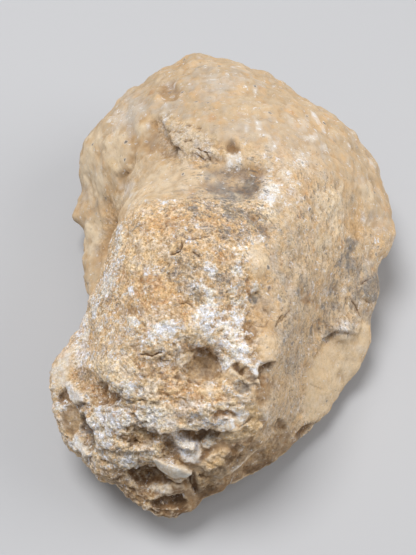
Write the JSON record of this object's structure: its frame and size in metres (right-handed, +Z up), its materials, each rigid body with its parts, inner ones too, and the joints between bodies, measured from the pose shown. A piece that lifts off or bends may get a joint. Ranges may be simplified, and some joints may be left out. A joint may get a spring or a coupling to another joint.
{
  "type": "geode",
  "caption": "Unopened geode: a domed limestone lump whose raised ridge breaks off in a rough, pitted end with a white crust. It rests on a small flat spot.",
  "frame": {"origin": "under the middle of the bounding box, on the plane that the stone rests on", "axes": "+Y from the broken end to the domed back, +Z up, +X to the right when the broken end faces the viewer"},
  "size_m": [0.0748, 0.114, 0.0438],
  "materials": {
    "limestone_crust": "dry, matt, grainy buff limestone with chalk-white crust, grey stains and rusty hollows"
  },
  "bodies": {
    "root": {"geode": "limestone_crust"}
  },
  "joints": []
}
